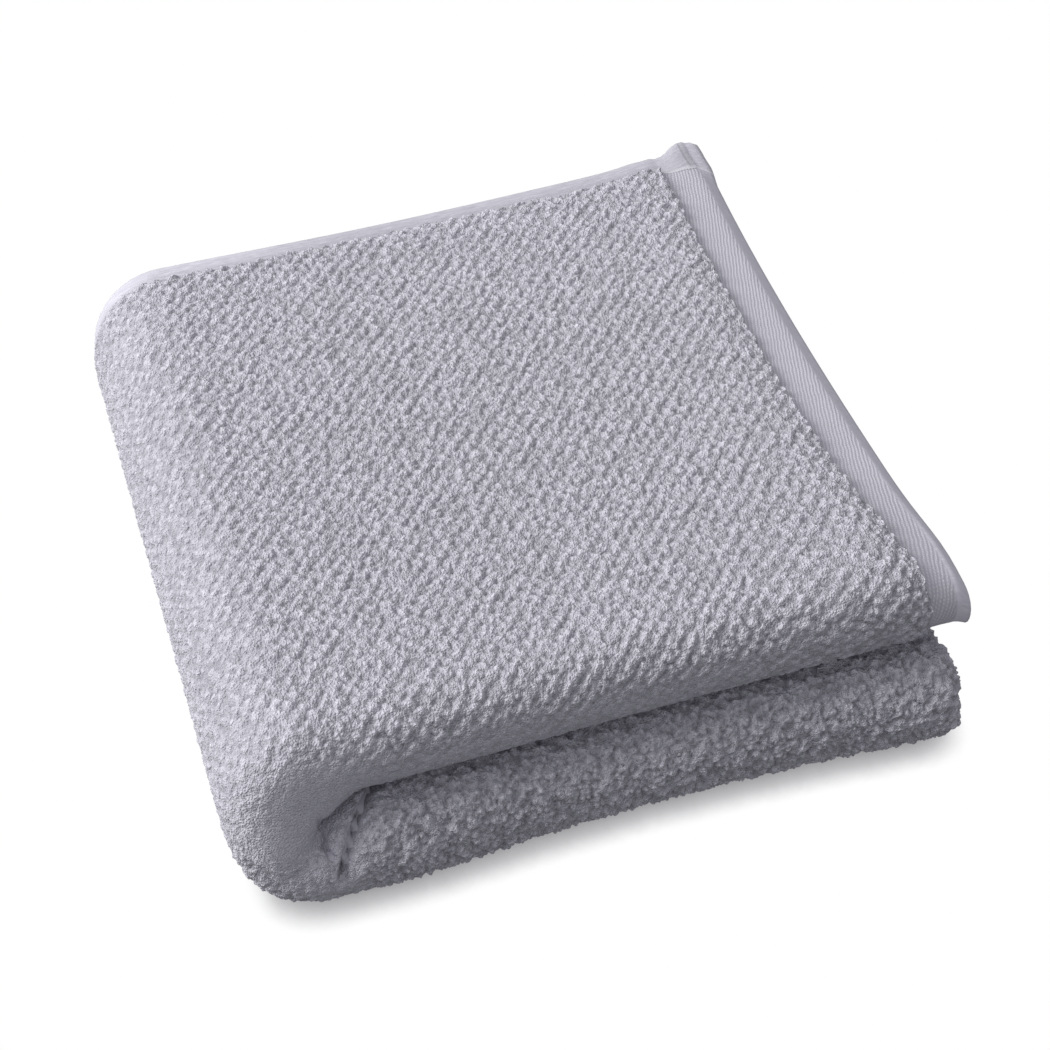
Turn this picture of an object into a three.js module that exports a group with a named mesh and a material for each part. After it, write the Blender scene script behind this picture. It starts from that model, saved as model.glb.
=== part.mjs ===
// A terry hand towel, folded three times: crosswise in half, lengthwise in half,
// crosswise in half again. One sheet of cloth in eight layers, in millimetres, +Z up.
// The spine of the last fold is at -X, the end hems at +X, the soft front folds at -Y
// and the selvedges at +Y. The origin is the middle of the underside.
import * as THREE from "three";

// Face of the folded towel
const faceLength = 260; // spine to end hem
const faceDepth = 244.5; // front fold to selvedge, of one four-layer bundle
const layerPitch = 9.5; // from one layer's middle to the next
const terryThick = 7.6; // cloth with its pile on both sides
const bundleSetBack = 12.5; // how far the upper front fold stands behind the lower one

// Hems
const endHemWidth = 22;
const selvedgeWidth = 10;
const hemThick = 2.8;
const selvedgeSqueeze = 0.14; // share of the pitch lost at the selvedges
const selvedgeReach = 16;
const pileStep = 1.2; // half the width of the step from flat hem to full pile
const fullPileAt = 33; // from the end of the cloth, where the hem's squeeze ends
const hemNarrowing = 0.45; // the end hem is drawn in where it wraps the front fold
const noseSpread = 45;
const noseDrop = 4;
const noseReach = 30;
const noseForward = -7.5;

// Folds
const spineReach = 32.5; // how far the spine bulges to -X from its centre line
const spinePower = 2.2; // 2 is a round fold, more is fuller
const frontPower = 2.2;
const lowerEnd = 257.5; // far end of the lower bundle, measured from the spine
const innerPairShort = 3.5; // the upper pair of layers in it ends this much sooner

// Unevenness of the hem edge and of the back
const hemEdgeBow = 4.4;
const hemEdgeFlare = 2.5;
const flareAt = 38;
const flareSpread = 20;
const flareReach = 25;
const hemBendShare = 0.75; // the bow begins at this share of the face's length
const cornerLift = 2;
const cornerPull = 9;
const cornerSpreadX = 26;
const cornerSpreadY = 30;
const backSag = 1.3;
const backSagReach = 60;
const topWave = 0.5;
const topWaveX = 31;
const topWaveY = 37;

// Unevenness of the lower front fold
const frontBowMiddle = 3.2;
const frontBowEnd = -3.3;
const frontBowStart = 30; // from the spine's end
const frontBowMiddleShare = 0.9;
const frontBowEndShare = 0.72;
const frontFullTo = 20; // the front's bends fade out between these two lines
const frontFadesTo = 90;

// Buckle of the lower front fold beside the spine
const creaseDepth = 4.5;
const creaseWidth = 3.2;
const creaseTopX = 50;
const creaseFootX = 38;
const creaseFootZ = 2;
const creaseFullZ = 9;
const creaseTopShare = [0.8, 1.15]; // of the pile's middle height
const creaseFade = [4, 26];
const creaseStations = { after: 5, step: 3.6, count: 5 };

// From the hem's edge inwards: share of the pitch, rise of the bundle's middle, thickness
const hemRows = [
  { from: 0, squeeze: 0.53, rise: -2, thick: 2.4 },
  { from: 3, squeeze: 0.59, rise: 0, thick: 2.6 },
  { from: 6, squeeze: 0.66, rise: 1.6, thick: hemThick },
  { from: 16, squeeze: 0.75, rise: 1.6, thick: hemThick },
  { from: endHemWidth, squeeze: 0.86, rise: 0.7, thick: hemThick },
  { from: endHemWidth + 2 * pileStep, squeeze: 0.93, rise: 0.3, thick: terryThick },
  { from: fullPileAt, squeeze: 1, rise: 0, thick: terryThick },
];

// Lengths along the cloth, worked out from the sizes above
const spineStart = faceLength - spineReach;
const spineLength = Math.PI * 2 * layerPitch;
const lowerLength = lowerEnd - spineReach;
const turnStart = spineStart + spineLength + lowerLength - layerPitch;
const turnLength = (Math.PI * layerPitch) / 2;
const clothLength = 2 * turnStart + turnLength;
const frontStart = faceDepth - 2 * layerPitch;
const frontLength = Math.PI * layerPitch;
const clothWidth = 2 * frontStart + frontLength;
const middleHeight = 4 * layerPitch;
const hemSqueeze = hemRows[0].squeeze;
const backLine = faceDepth + bundleSetBack;

const clamp01 = (value) => Math.min(1, Math.max(0, value));

function smoothStep(from, to, value) {
  const t = clamp01((value - from) / (to - from));
  return t * t * (3 - 2 * t);
}

function bell(distance, spread) {
  return Math.exp(-((distance / spread) ** 2));
}

// Value of a column of hemRows at a distance from the hem's edge
function hemValue(column, distance) {
  const last = hemRows[hemRows.length - 1];
  if (distance >= last.from) return last[column];
  const next = hemRows.findIndex((row) => row.from > distance);
  const low = hemRows[Math.max(next - 1, 0)];
  const high = hemRows[Math.max(next, 1)];
  const share = clamp01((distance - low.from) / (high.from - low.from));
  return low[column] + share * (high[column] - low[column]);
}

// Radius factor of a fold that is fuller than a half circle
function fullness(angle, power) {
  const sum = Math.abs(Math.cos(angle)) ** power + Math.abs(Math.sin(angle)) ** power;
  return sum ** (-1 / power);
}

// Uneven lie of the whole pile, as a smooth bend of the space it fills
function settle(point) {
  let { x, y, z } = point;
  const low = 1 - smoothStep(3 * layerPitch, 5 * layerPitch, z);
  const nearFront = 1 - smoothStep(frontFullTo, frontFadesTo, y);
  const run = clamp01((x - frontBowStart) / (faceLength - frontBowStart));
  const middleBow = frontBowMiddle * Math.sin(Math.PI * clamp01(run / frontBowMiddleShare)) ** 2;
  y += low * nearFront * (middleBow + frontBowEnd * smoothStep(frontBowEndShare, 1, run));

  const creaseX = creaseFootX + ((creaseTopX - creaseFootX) * z) / middleHeight;
  const aboveFoot = smoothStep(creaseFootZ, creaseFullZ, z);
  const belowTop = 1 - smoothStep(...creaseTopShare, z / middleHeight);
  const outside = 1 - smoothStep(...creaseFade, y);
  y += creaseDepth * bell(x - creaseX, creaseWidth) * aboveFoot * belowTop * outside;

  const high = smoothStep(middleHeight, middleHeight + layerPitch, z);
  const nearHem = smoothStep(faceLength * hemBendShare, faceLength, x);
  const atHem = smoothStep(faceLength - flareReach, faceLength, x);
  const half = faceDepth / 2;
  const inward = clamp01(1 - ((y - half - bundleSetBack) / half) ** 2);
  x -= hemEdgeBow * inward * nearHem * high;
  x += hemEdgeFlare * bell(y - flareAt, flareSpread) * atHem * high;

  const top = smoothStep(middleHeight, 7.5 * layerPitch, z);
  const corner = bell(x - faceLength, cornerSpreadX) * bell(y - backLine, cornerSpreadY);
  z += cornerLift * corner * top;
  y += cornerPull * corner * top;
  const nearBack = smoothStep(backLine - backSagReach, backLine, y);
  z -= backSag * Math.sin(Math.PI * clamp01(x / faceLength)) ** 2 * nearBack * top;
  z += topWave * Math.sin(x / topWaveX + 1) * Math.sin(y / topWaveY) * top * (1 - nearHem);
  return new THREE.Vector3(x, y, z);
}

// A point of the cloth: how far along its length, how far across, and on which face,
// +1 the one that shows and -1 the one that is folded in.
function foldedPoint(along, across, side) {
  const fromSelvedge = Math.min(across, clothWidth - across);
  const nose = bell(across - clothWidth / 2, noseSpread);
  const drawnIn = 1 + hemNarrowing * nose;
  const fromEnd = Math.min(along, clothLength - along) * drawnIn;
  const pile = smoothStep(selvedgeWidth - pileStep, selvedgeWidth + pileStep, fromSelvedge);
  const selvedgeThick = hemThick + (terryThick - hemThick) * pile;
  const thick = Math.min(hemValue("thick", fromEnd), selvedgeThick);
  const offset = (side * thick) / 2;

  // First fold: the two halves of the length lie on each other
  const turn = clamp01((along - turnStart) / turnLength) * Math.PI;
  const turnRadius = layerPitch / 2 + offset;
  let run = along;
  if (turn > 0) run = turnStart + turnRadius * Math.sin(turn);
  if (turn >= Math.PI) run = clothLength - along;
  const inPair = turnRadius * Math.cos(turn);

  // Second fold: the soft fold along the front
  const front = clamp01((across - frontStart) / frontLength) * Math.PI;
  const onFront = front > 0 && front < Math.PI;
  const frontRadius = (layerPitch + inPair) * (onFront ? fullness(front, frontPower) : 1);
  const selvedgeEase = 1 - selvedgeSqueeze * (1 - smoothStep(0, selvedgeReach, fromSelvedge));
  const squeeze = hemValue("squeeze", run * drawnIn);
  const inBundle = frontRadius * Math.cos(front) * squeeze * selvedgeEase;
  const flatAcross = front <= 0 ? frontStart - across : across - frontStart - frontLength;
  const back = onFront ? -frontRadius * Math.sin(front) * squeeze : flatAcross;

  // Third fold: the spine
  const spine = clamp01((run - spineStart) / spineLength) * Math.PI;
  const onSpine = spine > 0 && spine < Math.PI;
  const spineRadius = (2 * layerPitch + inBundle) * (onSpine ? fullness(spine, spinePower) : 1);
  const below = smoothStep(0, Math.PI, spine);
  let x = faceLength - run;
  if (onSpine) x = spineReach * (1 - (spineRadius * Math.sin(spine)) / middleHeight);
  if (spine >= Math.PI) {
    const inner = smoothStep(-layerPitch / 2, layerPitch / 2, -inBundle);
    x = spineReach + run - spineStart - spineLength;
    x -= innerPairShort * inner * smoothStep(0.6, 1, x / faceLength);
  }

  // The hems sink as they are squeezed, and the lowest layer stays on the floor
  const hemFall = noseDrop * nose * (1 - smoothStep(0, noseReach, run));
  const sink = (1 - selvedgeEase) * 1.5 * layerPitch + (terryThick - selvedgeThick) / 2;
  const rise = hemValue("rise", run * drawnIn) - hemFall - below * sink;
  const z = middleHeight + spineRadius * Math.cos(spine) + rise;

  const hemShare = (1 - squeeze) / (1 - hemSqueeze);
  const centre = bundleSetBack * (1 - below) + 2 * layerPitch + noseForward * hemShare;
  return settle(new THREE.Vector3(x, centre + back, z));
}

// Stations from start to end in equal steps, without the start
function steps(start, end, count) {
  return Array.from({ length: count }, (_, i) => start + ((end - start) * (i + 1)) / count);
}

// Stations on half the cloth, repeated on the other half in mirror order
function mirrored(half, whole) {
  const rest = half.slice(0, -1);
  return [...rest, whole / 2, ...rest.map((value) => whole - value).reverse()];
}

function alongStations() {
  const spineEnd = spineStart + spineLength;
  const hem = hemRows.map((row) => row.from);
  const { after, step, count } = creaseStations;
  const creaseEnd = spineEnd + after + step * count;
  return mirrored(
    [
      ...hem,
      ...steps(fullPileAt, spineStart, 4),
      ...steps(spineStart, spineEnd, 11),
      spineEnd + after,
      ...steps(spineEnd + after, creaseEnd, count),
      ...steps(creaseEnd, turnStart, 4),
      ...steps(turnStart, turnStart + turnLength / 2, 3),
    ],
    clothLength,
  );
}

function acrossStations() {
  return mirrored(
    [
      0,
      selvedgeWidth - pileStep,
      selvedgeWidth + pileStep,
      selvedgeReach,
      ...steps(selvedgeReach, frontStart, 4),
      ...steps(frontStart, frontStart + frontLength / 2, 6),
    ],
    clothWidth,
  );
}

// One closed skin: the outer face, the inner face and the four narrow edges
function clothGeometry() {
  const rows = alongStations();
  const columns = acrossStations();
  const positions = [];
  const index = [];
  for (const side of [1, -1]) {
    for (const along of rows) {
      for (const across of columns) positions.push(...foldedPoint(along, across, side));
    }
  }
  const skin = rows.length * columns.length;
  const at = (row, column, inner) => inner * skin + row * columns.length + column;
  const quad = (a, b, c, d) => index.push(a, b, c, a, c, d);

  for (let i = 0; i + 1 < rows.length; i += 1) {
    for (let j = 0; j + 1 < columns.length; j += 1) {
      quad(at(i, j, 0), at(i + 1, j, 0), at(i + 1, j + 1, 0), at(i, j + 1, 0));
      quad(at(i, j, 1), at(i, j + 1, 1), at(i + 1, j + 1, 1), at(i + 1, j, 1));
    }
  }
  const lastRow = rows.length - 1;
  const lastColumn = columns.length - 1;
  for (let i = 0; i < lastRow; i += 1) {
    quad(at(i, 0, 0), at(i, 0, 1), at(i + 1, 0, 1), at(i + 1, 0, 0));
    quad(at(i, lastColumn, 0), at(i + 1, lastColumn, 0), at(i + 1, lastColumn, 1), at(i, lastColumn, 1));
  }
  for (let j = 0; j < lastColumn; j += 1) {
    quad(at(0, j, 0), at(0, j + 1, 0), at(0, j + 1, 1), at(0, j, 1));
    quad(at(lastRow, j, 0), at(lastRow, j, 1), at(lastRow, j + 1, 1), at(lastRow, j + 1, 0));
  }

  const geometry = new THREE.BufferGeometry();
  geometry.setAttribute("position", new THREE.Float32BufferAttribute(positions, 3));
  geometry.setIndex(index);
  geometry.computeBoundingBox();
  const box = geometry.boundingBox;
  const middle = box.getCenter(new THREE.Vector3());
  geometry.translate(-middle.x, -middle.y, -box.min.z);
  geometry.computeVertexNormals();
  return geometry;
}

const terryCotton = new THREE.MeshStandardMaterial({
  color: 0xb7b6c1,
  roughness: 0.95,
  metalness: 0,
  side: THREE.DoubleSide,
});

const towel = new THREE.Mesh(clothGeometry(), terryCotton);
towel.name = "towel";

const foldedTowel = new THREE.Group();
foldedTowel.add(towel);

export default foldedTowel;
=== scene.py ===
import math
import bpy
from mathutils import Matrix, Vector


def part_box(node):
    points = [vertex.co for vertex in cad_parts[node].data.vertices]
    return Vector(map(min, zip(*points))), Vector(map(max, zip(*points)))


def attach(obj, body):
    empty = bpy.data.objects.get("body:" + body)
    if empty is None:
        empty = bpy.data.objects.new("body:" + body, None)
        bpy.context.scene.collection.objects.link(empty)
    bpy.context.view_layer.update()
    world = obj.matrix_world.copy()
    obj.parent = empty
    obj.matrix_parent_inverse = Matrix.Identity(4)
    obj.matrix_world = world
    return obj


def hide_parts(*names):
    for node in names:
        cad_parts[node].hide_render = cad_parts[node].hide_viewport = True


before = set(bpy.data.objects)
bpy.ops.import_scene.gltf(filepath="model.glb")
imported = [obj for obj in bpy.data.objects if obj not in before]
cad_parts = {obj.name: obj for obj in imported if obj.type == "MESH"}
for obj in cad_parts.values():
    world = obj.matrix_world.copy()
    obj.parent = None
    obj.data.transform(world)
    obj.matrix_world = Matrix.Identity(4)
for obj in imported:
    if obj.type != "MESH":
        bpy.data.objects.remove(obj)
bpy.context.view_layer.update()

from types import SimpleNamespace

import bpy
import numpy as np

mm = 0.001

# How the cloth is folded, in millimetres: x from the hems' side back to the spine,
# y from the front folds to the selvedges, z up. frameShift then sets it in the frame.
foldSizes = {
    "faceLength": 260.0,        # spine to end hem
    "faceDepth": 244.5,         # front fold to selvedge, of one four-layer bundle
    "layerPitch": 9.5,          # from one layer's middle to the next
    "terryThick": 7.6,          # cloth with the pile on both of its faces
    "bundleSetBack": 12.5,      # how far the upper front fold stands behind the lower one
    "spineReach": 32.5,         # bulge of the spine from its centre line
    "spinePower": 2.2,          # 2 is a round fold, more is fuller
    "frontPower": 2.2,
    "lowerEnd": 257.5,          # far end of the lower bundle
    "innerPairShort": 3.5,      # its upper pair of layers ends this much sooner
    "innerPairFrom": 0.6,       # and begins to shrink at this share of the face
}
hemSizes = {
    "endWidth": 22.0,
    "selvedgeWidth": 10.0,
    "thick": 2.8,
    "selvedgeSqueeze": 0.14,    # share of the pitch lost at the selvedges
    "selvedgeReach": 16.0,
    "sinkLayers": 1.5,          # what is lost there sinks, counted in layers
    "pileStep": 1.2,            # half the width of the step from flat hem to full pile
    "fullPileAt": 33.0,
    "narrowing": 0.45,          # drawn in where the hem wraps the front fold
    "noseSpread": 45.0,
    "noseDrop": 4.0,
    "noseReach": 30.0,
    "noseForward": -7.5,
    "cornerRise": 2.3,          # the hem lies flat right to its end at the corner
    "cornerFade": (8.0, 14.0),  # from the selvedge
    "cornerReach": (3.0, 6.0),  # from the hem's edge
}
lieSizes = {
    "hemBow": 4.4,              # the hem's edge is hollow along its length
    "hemFlare": 2.5,            # and swings out near the front
    "flareAt": 38.0,
    "flareSpread": 20.0,
    "flareReach": 25.0,
    "hemBendShare": 0.75,
    "cornerLift": 2.0,          # the back corner of the hem
    "cornerPull": 9.0,
    "cornerSpread": (26.0, 30.0),
    "cornerPeak": 5.2,          # the hem's corner stands up squarely
    "cornerPeakPull": 2.4,
    "cornerPeakInward": 3.4,
    "cornerPeakSpread": (16.0, 14.0),
    "backCorner": 2.8,          # the spine's back corner is squarer than a round fold
    "backCornerInset": 4.0,
    "backCornerSpread": 11.0,
    "backCornerReach": 30.0,
    "backCornerRise": (20.0, 40.0),
    "slitDrop": 9.0,            # the slit between the folds turns down at its left end
    "slitForward": 4.2,
    "slitHeight": 44.0,
    "slitSpread": (14.0, 10.0),
    "slitStart": (0.0, 18.0),
    "slitTurn": (27.0, 47.0),
    "slitFade": (30.0, 60.0),
    "hookAt": (30.6, 11.0),     # and ends in a small hook
    "hookBend": 2.2,
    "hookHalf": 5.5,
    "hookDepth": 3.6,
    "hookWidth": 1.2,
    "endBulge": 3.4,            # right end of the lower bundle, near the front
    "endBulgeAt": 29.0,
    "endBulgeSpread": (26.0, 11.0),
    "endBulgeFrom": 0.85,
    "backSag": 1.3,
    "backSagReach": 60.0,
    "topFullAt": 7.5,           # layers up to where the bends of the top are whole
    "topWave": 0.5,
    "topWaveLength": (31.0, 37.0),
    "topWaveStart": 1.0,
    "frontBowMiddle": 3.2,
    "frontBowEnd": -3.3,
    "frontBowStart": 30.0,
    "frontBowMiddleShare": 0.9,
    "frontBowEndShare": 0.72,
    "frontFade": (20.0, 90.0),
    "creaseDepths": (2.2, 5.6), # a wide dent and the narrow fold in its bottom
    "creaseWidths": (4.5, 1.1),
    "creaseX": 32.6,            # where it starts on the front, and how it leans to the right
    "creaseLean": 0.78,
    "creaseFoot": (16.0, 27.0),
    "creaseTop": (38.0, 46.0),
    "creaseFade": (18.0, 34.0),
    "dentBack": 0.75,           # how much of a dent's depth goes back, and how much down
    "dentDown": 0.66,
}
fold = SimpleNamespace(**foldSizes)
hem = SimpleNamespace(**hemSizes)
lie = SimpleNamespace(**lieSizes)

# From the hem's edge inwards: share of the pitch, rise of the bundle's middle, thickness
hemFrom = [0.0, 3.0, 6.0, 16.0, hem.endWidth, hem.endWidth + 2 * hem.pileStep, hem.fullPileAt]
hemRows = {
    "squeeze": [0.53, 0.59, 0.66, 0.75, 0.86, 0.93, 1.0],
    "rise": [-1.5, 0.2, 1.6, 1.6, 0.7, 0.3, 0.0],
    "thick": [2.4, 2.6, hem.thick, hem.thick, hem.thick, fold.terryThick, fold.terryThick],
}

# Lengths along and across the cloth, worked out from the sizes above
spineStart = fold.faceLength - fold.spineReach
spineLength = math.pi * 2 * fold.layerPitch
spineEnd = spineStart + spineLength
turnStart = spineEnd + fold.lowerEnd - fold.spineReach - fold.layerPitch
turnLength = math.pi * fold.layerPitch / 2
clothLength = 2 * turnStart + turnLength
frontStart = fold.faceDepth - 2 * fold.layerPitch
frontLength = math.pi * fold.layerPitch
frontEnd = frontStart + frontLength
clothWidth = 2 * frontStart + frontLength
middleHeight = 4 * fold.layerPitch
backLine = fold.faceDepth + fold.bundleSetBack


def smoothStep(low, high, value):
    share = np.clip((value - low) / (high - low), 0.0, 1.0)
    return share * share * (3.0 - 2.0 * share)


def bell(distance, spread):
    return np.exp(-((distance / spread) ** 2))


def fullness(angle, power):
    total = np.abs(np.cos(angle)) ** power + np.abs(np.sin(angle)) ** power
    return total ** (-1.0 / power)


def hemValue(column, distance):
    return np.interp(distance, hemFrom, hemRows[column])


def fromEdge(value, length):         # distance from the nearer of two edges
    return np.minimum(value, length - value)


def noseShare(across):               # 1 in the middle of the hem, where it wraps the front fold
    return bell(across - clothWidth / 2, hem.noseSpread)


def selvedgePile(fromSelvedge):
    return smoothStep(hem.selvedgeWidth - hem.pileStep, hem.selvedgeWidth + hem.pileStep, fromSelvedge)


def pileShare(along, across):        # 0 on the flat hems, 1 where the terry stands
    drawnIn = 1 + hem.narrowing * noseShare(across)
    fromEnd = fromEdge(along, clothLength) * drawnIn
    side = selvedgePile(fromEdge(across, clothWidth))
    return side * smoothStep(hem.endWidth, hem.endWidth + 2 * hem.pileStep, fromEnd)


# The uneven lie of the whole pile, first of the lower bundle and its front
def settleFront(x, y, z, creased):
    low = 1 - smoothStep(3 * fold.layerPitch, 5 * fold.layerPitch, z)
    nearFront = 1 - smoothStep(*lie.frontFade, y)
    run = np.clip((x - lie.frontBowStart) / (fold.faceLength - lie.frontBowStart), 0.0, 1.0)
    bowShare = np.clip(run / lie.frontBowMiddleShare, 0.0, 1.0)
    bow = lie.frontBowMiddle * np.sin(math.pi * bowShare) ** 2
    y = y + low * nearFront * (bow + lie.frontBowEnd * smoothStep(lie.frontBowEndShare, 1.0, run))

    turned = (1 - smoothStep(*lie.slitTurn, x)) * smoothStep(*lie.slitStart, x)
    turned = turned * (1 - smoothStep(*lie.slitFade, y))
    fall, push = [bell(z - lie.slitHeight, spread) for spread in lie.slitSpread]
    y = y - lie.slitForward * turned * push
    z = z - lie.slitDrop * turned * fall

    creaseX = lie.creaseX + lie.creaseLean * y
    opened = smoothStep(*lie.creaseFoot, z) * (1 - smoothStep(*lie.creaseTop, z))
    opened = opened * (1 - smoothStep(*lie.creaseFade, y))
    hookX, hookY = lie.hookAt
    hookShare = (y - hookY) / lie.hookHalf
    hook = bell(x - hookX - lie.hookBend * hookShare ** 2, lie.hookWidth)
    hook = hook * np.clip(1 - hookShare ** 4, 0.0, 1.0)
    dent = lie.hookDepth * hook
    for depth, width in zip(lie.creaseDepths, lie.creaseWidths):
        dent = dent + depth * bell(x - creaseX, width)
    y = y + lie.dentBack * dent * opened * creased
    z = z - lie.dentDown * dent * opened * creased
    spreadY, spreadZ = lie.endBulgeSpread
    bulge = bell(y - fold.bundleSetBack, spreadY) * bell(z - lie.endBulgeAt, spreadZ)
    x = x + lie.endBulge * bulge * smoothStep(lie.endBulgeFrom, 1.0, x / fold.faceLength) * low
    return x, y, z


def settleTop(x, y, z):              # then of the hem's edge, the corners and the top face
    high = smoothStep(middleHeight, middleHeight + fold.layerPitch, z)
    nearHem = smoothStep(fold.faceLength * lie.hemBendShare, fold.faceLength, x)
    atHem = smoothStep(fold.faceLength - lie.flareReach, fold.faceLength, x)
    half = fold.faceDepth / 2
    inward = np.clip(1 - ((y - half - fold.bundleSetBack) / half) ** 2, 0.0, 1.0)
    x = x - lie.hemBow * inward * nearHem * high
    x = x + lie.hemFlare * bell(y - lie.flareAt, lie.flareSpread) * atHem * high

    top = smoothStep(middleHeight, lie.topFullAt * fold.layerPitch, z)
    corner = bell(x - fold.faceLength, lie.cornerSpread[0]) * bell(y - backLine, lie.cornerSpread[1])
    peakX, peakY = lie.cornerPeakSpread
    peak = np.exp(-((x - fold.faceLength) / peakX) ** 4 - ((y - backLine) / peakY) ** 4)
    z = z + (lie.cornerLift * corner + lie.cornerPeak * peak) * top
    y = y + (lie.cornerPull * corner + lie.cornerPeakPull * peak) * top
    x = x - lie.cornerPeakInward * peak * top
    atBack = bell(y - backLine + lie.backCornerInset, lie.backCornerSpread)
    atBack = atBack * (1 - smoothStep(0.0, lie.backCornerReach, x))
    x = x - lie.backCorner * atBack * smoothStep(*lie.backCornerRise, z)
    nearBack = smoothStep(backLine - lie.backSagReach, backLine, y)
    z = z - lie.backSag * np.sin(math.pi * np.clip(x / fold.faceLength, 0.0, 1.0)) ** 2 * nearBack * top
    waveX, waveY = lie.topWaveLength
    wave = np.sin(x / waveX + lie.topWaveStart) * np.sin(y / waveY)
    z = z + lie.topWave * wave * top * (1 - nearHem)
    return x, y, z


# Where a point of the flat cloth lies once it is folded. side is +1 on the face that
# shows and -1 on the one folded in, under is the depth below the tips of the pile.
def foldedPoint(along, across, side, under=0.0, creased=1):
    values = [np.asarray(value, float) for value in (along, across, side, under)]
    along, across, side, under = np.broadcast_arrays(*values)
    fromSelvedge = fromEdge(across, clothWidth)
    nose = noseShare(across)
    drawnIn = 1 + hem.narrowing * nose
    fromEnd = fromEdge(along, clothLength) * drawnIn
    pile = selvedgePile(fromSelvedge)
    selvedgeThick = hem.thick + (fold.terryThick - hem.thick) * pile
    thick = np.minimum(hemValue("thick", fromEnd), selvedgeThick)
    offset = side * (thick / 2 - under)

    turn = np.clip((along - turnStart) / turnLength, 0.0, 1.0) * math.pi    # first fold
    turnRadius = fold.layerPitch / 2 + offset
    run = np.where(turn > 0, turnStart + turnRadius * np.sin(turn), along)
    run = np.where(turn >= math.pi, clothLength - along, run)
    inPair = turnRadius * np.cos(turn)

    front = np.clip((across - frontStart) / frontLength, 0.0, 1.0) * math.pi    # second fold
    onFront = (front > 0) & (front < math.pi)
    frontRadius = (fold.layerPitch + inPair) * np.where(onFront, fullness(front, fold.frontPower), 1.0)
    ease = 1 - hem.selvedgeSqueeze * (1 - smoothStep(0, hem.selvedgeReach, fromSelvedge))
    squeeze = hemValue("squeeze", run * drawnIn)
    inBundle = frontRadius * np.cos(front) * squeeze * ease
    flatAcross = np.where(front <= 0, frontStart - across, across - frontEnd)
    back = np.where(onFront, -frontRadius * np.sin(front) * squeeze, flatAcross)

    spine = np.clip((run - spineStart) / spineLength, 0.0, 1.0) * math.pi    # third fold
    onSpine = (spine > 0) & (spine < math.pi)
    spineRadius = 2 * fold.layerPitch + inBundle
    spineRadius = spineRadius * np.where(onSpine, fullness(spine, fold.spinePower), 1.0)
    below = smoothStep(0.0, math.pi, spine)
    spineX = fold.spineReach * (1 - spineRadius * np.sin(spine) / middleHeight)
    x = np.where(onSpine, spineX, fold.faceLength - run)
    inner = smoothStep(-fold.layerPitch / 2, fold.layerPitch / 2, -inBundle)
    lowerX = fold.spineReach + run - spineEnd
    shortened = smoothStep(fold.innerPairFrom, 1.0, lowerX / fold.faceLength)
    lowerX = lowerX - fold.innerPairShort * inner * shortened
    x = np.where(spine >= math.pi, lowerX, x)

    hemFall = hem.noseDrop * nose * (1 - smoothStep(0, hem.noseReach, run))
    sink = (1 - ease) * hem.sinkLayers * fold.layerPitch + (fold.terryThick - selvedgeThick) / 2
    rise = hemValue("rise", run * drawnIn)
    flatCorner = 1 - smoothStep(*hem.cornerFade, fromSelvedge)
    rise = rise + (hem.cornerRise - rise) * flatCorner * (1 - smoothStep(*hem.cornerReach, run))
    rise = rise - hemFall - below * sink
    z = middleHeight + spineRadius * np.cos(spine) + rise
    hemShare = (1 - squeeze) / (1 - hemRows["squeeze"][0])
    centre = fold.bundleSetBack * (1 - below) + 2 * fold.layerPitch + hem.noseForward * hemShare
    x, y, z = settleFront(x, centre + back, z, creased)
    return np.stack(settleTop(x, y, z), axis=-1)


def steps(start, end, size):         # equal steps of about the given size, without the start
    count = max(1, round((end - start) / size))
    return [start + (end - start) * (i + 1) / count for i in range(count)]


# The cloth's own skin, which the loops stand on
groundSizes = {
    "pileDepth": 1.6,           # how far the ground lies under the tips of the pile
    "flatStep": 6.0,            # size of a face where the cloth is flat and shows
    "foldStep": 2.6,
    "lowerStep": 6.0,
    "hiddenStep": 12.0,
    "turnSteps": 10,
    "afterSpine": 24.0,         # how far the small faces go on past the folds
    "afterFront": 16.0,
    "fade": 6.0,                # over this length the ground rises where the loops end
    "spineFade": 2.0,
    "slitFade": 14.0,
    "rollAt": 2.6,              # the selvedge is turned over into a narrow roll
    "rollHalf": 2.6,
    "rollHeight": 0.9,
    "grooveDepth": 0.35,        # and its seam is drawn in
    "grooveFromRoll": 1.4,
    "grooveSpread": 1.6,
    "hemSteps": [1.5, 3.0, 4.5, 5.7, 6.3, 9.0, 12.5, 16.0, 19.0, 22.0, 23.2, 24.4, 28.0, 33.0],
    "selvedgeSteps": [1.2, 3.0, 5.5, 8.0, 8.8, 10.0, 11.2, 13.5, 16.0],
}
ground = SimpleNamespace(**groundSizes)


def alongStations():
    rows = [0.0] + ground.hemSteps
    ends = [clothLength - row for row in rows]
    rows += steps(rows[-1], spineStart, ground.flatStep)
    rows += steps(spineStart, spineEnd, ground.foldStep)
    rows += steps(spineEnd, spineEnd + ground.afterSpine, ground.foldStep)
    rows += steps(spineEnd + ground.afterSpine, turnStart, ground.lowerStep)
    rows += steps(turnStart, turnStart + turnLength, turnLength / ground.turnSteps)
    rows += steps(rows[-1], clothLength - spineEnd, ground.hiddenStep)
    rows += steps(clothLength - spineEnd, clothLength - spineStart, ground.lowerStep)
    rows += steps(clothLength - spineStart, ends[-1], ground.hiddenStep)
    return np.array(rows + ends[::-1][1:])


def acrossStations():
    columns = [0.0] + ground.selvedgeSteps
    ends = [clothWidth - column for column in columns]
    columns += steps(columns[-1], frontStart, ground.flatStep)
    columns += steps(frontStart, frontEnd, ground.foldStep)
    columns += steps(frontEnd, frontEnd + ground.afterFront, ground.flatStep)
    columns += steps(columns[-1], ends[-1], ground.hiddenStep)
    return np.array(columns + ends[::-1][1:])


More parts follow.
